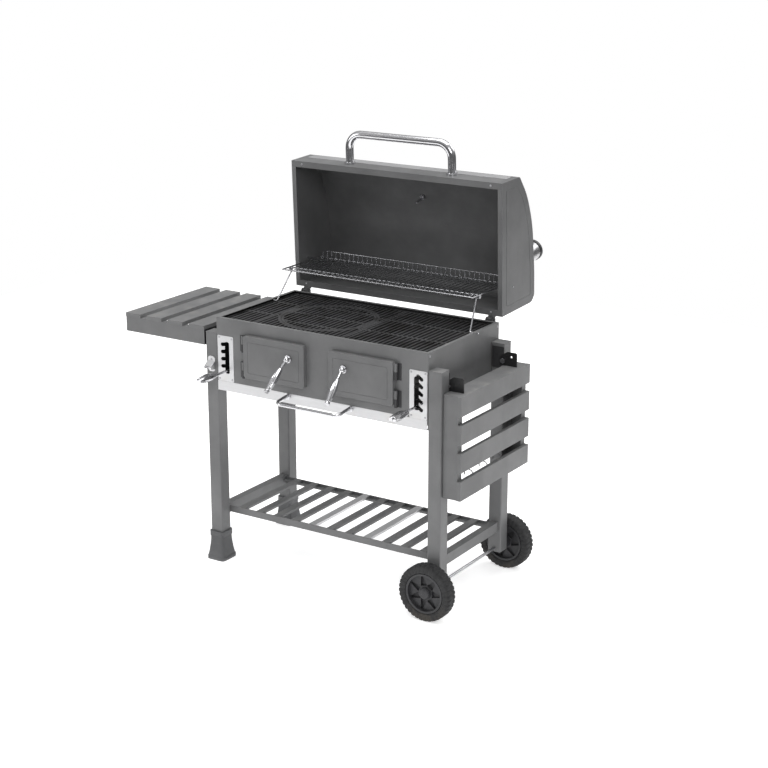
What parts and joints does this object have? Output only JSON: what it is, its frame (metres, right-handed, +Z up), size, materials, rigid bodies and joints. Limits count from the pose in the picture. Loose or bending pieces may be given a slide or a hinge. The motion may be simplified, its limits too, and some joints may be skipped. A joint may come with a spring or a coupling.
{
  "type": "charcoal grill cart",
  "caption": "Charcoal grill on a wheeled cart with a hinged hood, warming rack, height-adjustable coal pans, ash drawer and folding side tables.",
  "frame": {"origin": "on the floor below the middle of the whole cart, hood open, left table raised and right table hanging", "axes": "+Z up, +Y from the door side to the hood hinge side, +X towards the wheels"},
  "size_m": [1.2664, 0.884, 1.3642],
  "materials": {
    "body_paint": "satin powder coat, dark grey",
    "black_plastic": "moulded",
    "black_paint": "satin black",
    "tyre": "moulded",
    "stainless": "brushed",
    "galvanised": "dull",
    "chrome": "polished",
    "zinc": "plated",
    "cast_iron": "cast",
    "enamel": "enamelled"
  },
  "bodies": {
    "cart": {"leg_front_left": "body_paint", "leg_rear_left": "body_paint", "leg_front_right": "body_paint", "leg_rear_right": "body_paint", "leg_caps": "black_plastic", "feet": "black_plastic", "firebox_front": "body_paint", "firebox_back": "body_paint", "firebox_side_left": "body_paint", "firebox_side_right": "body_paint", "inner_rails": "black_paint", "slot_plates": "stainless", "door_hinge_leaves": "black_paint", "lift_pivots": "black_paint", "grate_left": "cast_iron", "grate_middle": "cast_iron", "grate_right": "cast_iron", "grate_round_insert": "cast_iron", "hood_hinge_ears": "black_paint", "shelf_frame": "body_paint", "shelf_slats": "body_paint", "shelf_slats_bright": "stainless", "axle": "zinc", "table_pivots": "black_paint", "table_pins": "zinc", "bottle_opener": "stainless", "body_screws": "zinc"},
    "ash_drawer": {"ash_tray": "galvanised", "ash_drawer_front": "stainless", "drawer_pull": "chrome"},
    "left_door": {"door_left": "body_paint"},
    "right_door": {"door_right": "body_paint"},
    "left_latch": {"latch_lever_left": "chrome"},
    "right_latch": {"latch_lever_right": "chrome"},
    "left_lift": {"coal_lift_left": "chrome", "coal_pan_left": "enamel"},
    "right_lift": {"coal_lift_right": "chrome", "coal_pan_right": "enamel"},
    "hood": {"hood_shell": "body_paint", "hood_end_left": "body_paint", "hood_end_right": "body_paint", "hood_trim": "stainless", "hood_handle": "chrome", "thermometer": "zinc", "chimney": "stainless", "hood_knuckles": "black_paint", "hood_screws": "zinc"},
    "vent_cap": {"chimney_cap": "black_paint"},
    "rack": {"warming_rack": "chrome"},
    "rack_swing": {"rack_legs": "chrome"},
    "left_table": {"table_frame_left": "body_paint", "table_slats_left": "body_paint"},
    "right_table": {"table_frame_right": "body_paint", "table_slats_right": "body_paint"},
    "left_knob": {"lock_knob_left": "black_plastic"},
    "right_knob": {"lock_knob_right": "black_plastic"},
    "front_wheel": {"tyre_front": "tyre", "rim_front": "black_plastic"},
    "rear_wheel": {"tyre_rear": "tyre", "rim_rear": "black_plastic"}
  },
  "joints": [
    {"name": "hood_hinge", "type": "hinge", "parent": "cart", "child": "hood", "pos_m": [0.13375, 0.13402, 0.82], "axis": [1, 0, 0], "range_deg": [0, 87.7]},
    {"name": "rack_leg_swing", "type": "hinge", "parent": "cart", "child": "rack_swing", "pos_m": [0.13375, -0.01298, 0.815], "axis": [1, 0, 0], "range_deg": [0, 87.7]},
    {"name": "rack_pivot", "type": "hinge", "parent": "hood", "child": "rack", "pos_m": [0.13375, 0.20202, 0.916], "axis": [1, 0, 0], "range_deg": [-87.7, 0]},
    {"name": "vent_turn", "type": "hinge", "parent": "hood", "child": "vent_cap", "pos_m": [0.46875, 0.33795, 0.97131], "axis": [0, 0.9917, 0.1284], "range_deg": [0, 45]},
    {"name": "drawer_slide", "type": "slide", "parent": "cart", "child": "ash_drawer", "axis": [0, -1, 0], "range_m": [0, 0.3]},
    {"name": "left_door_hinge", "type": "hinge", "parent": "cart", "child": "left_door", "pos_m": [-0.14725, -0.30698, 0.711], "axis": [0, 0, -1], "range_deg": [0, 100]},
    {"name": "right_door_hinge", "type": "hinge", "parent": "cart", "child": "right_door", "pos_m": [0.41475, -0.30698, 0.711], "axis": [0, 0, 1], "range_deg": [0, 100]},
    {"name": "left_latch_turn", "type": "hinge", "parent": "left_door", "child": "left_latch", "pos_m": [0.03175, -0.31498, 0.731], "axis": [0, -1, 0], "range_deg": [0, 90]},
    {"name": "right_latch_turn", "type": "hinge", "parent": "right_door", "child": "right_latch", "pos_m": [0.23575, -0.31498, 0.731], "axis": [0, 1, 0], "range_deg": [0, 90]},
    {"name": "left_lift_pivot", "type": "hinge", "parent": "cart", "child": "left_lift", "pos_m": [-0.19625, 0.10102, 0.651], "axis": [-1, 0, 0], "range_deg": [0, 11.5]},
    {"name": "right_lift_pivot", "type": "hinge", "parent": "cart", "child": "right_lift", "pos_m": [0.46375, 0.10102, 0.651], "axis": [-1, 0, 0], "range_deg": [0, 11.5]},
    {"name": "left_table_fold", "type": "hinge", "parent": "cart", "child": "left_table", "pos_m": [-0.29775, -0.08898, 0.7155], "axis": [0, -1, 0], "range_deg": [0, 90]},
    {"name": "right_table_fold", "type": "hinge", "parent": "cart", "child": "right_table", "pos_m": [0.56525, -0.08898, 0.7155], "axis": [0, -1, 0], "range_deg": [0, 90]},
    {"name": "left_knob_turn", "type": "hinge", "parent": "left_table", "child": "left_knob", "pos_m": [-0.28275, -0.24398, 0.745], "axis": [0, 1, 0], "continuous": true},
    {"name": "right_knob_turn", "type": "hinge", "parent": "right_table", "child": "right_knob", "pos_m": [0.59475, -0.24398, 0.7305], "axis": [0, 1, 0], "continuous": true},
    {"name": "front_wheel_spin", "type": "hinge", "parent": "cart", "child": "front_wheel", "pos_m": [0.54425, -0.33448, 0.089], "axis": [0, 1, 0], "continuous": true},
    {"name": "rear_wheel_spin", "type": "hinge", "parent": "cart", "child": "rear_wheel", "pos_m": [0.54425, 0.15652, 0.089], "axis": [0, 1, 0], "continuous": true}
  ],
  "couplings": [
    {"joint": "rack_leg_swing", "follows": "hood_hinge", "ratio": 1},
    {"joint": "rack_pivot", "follows": "hood_hinge", "ratio": -1}
  ]
}
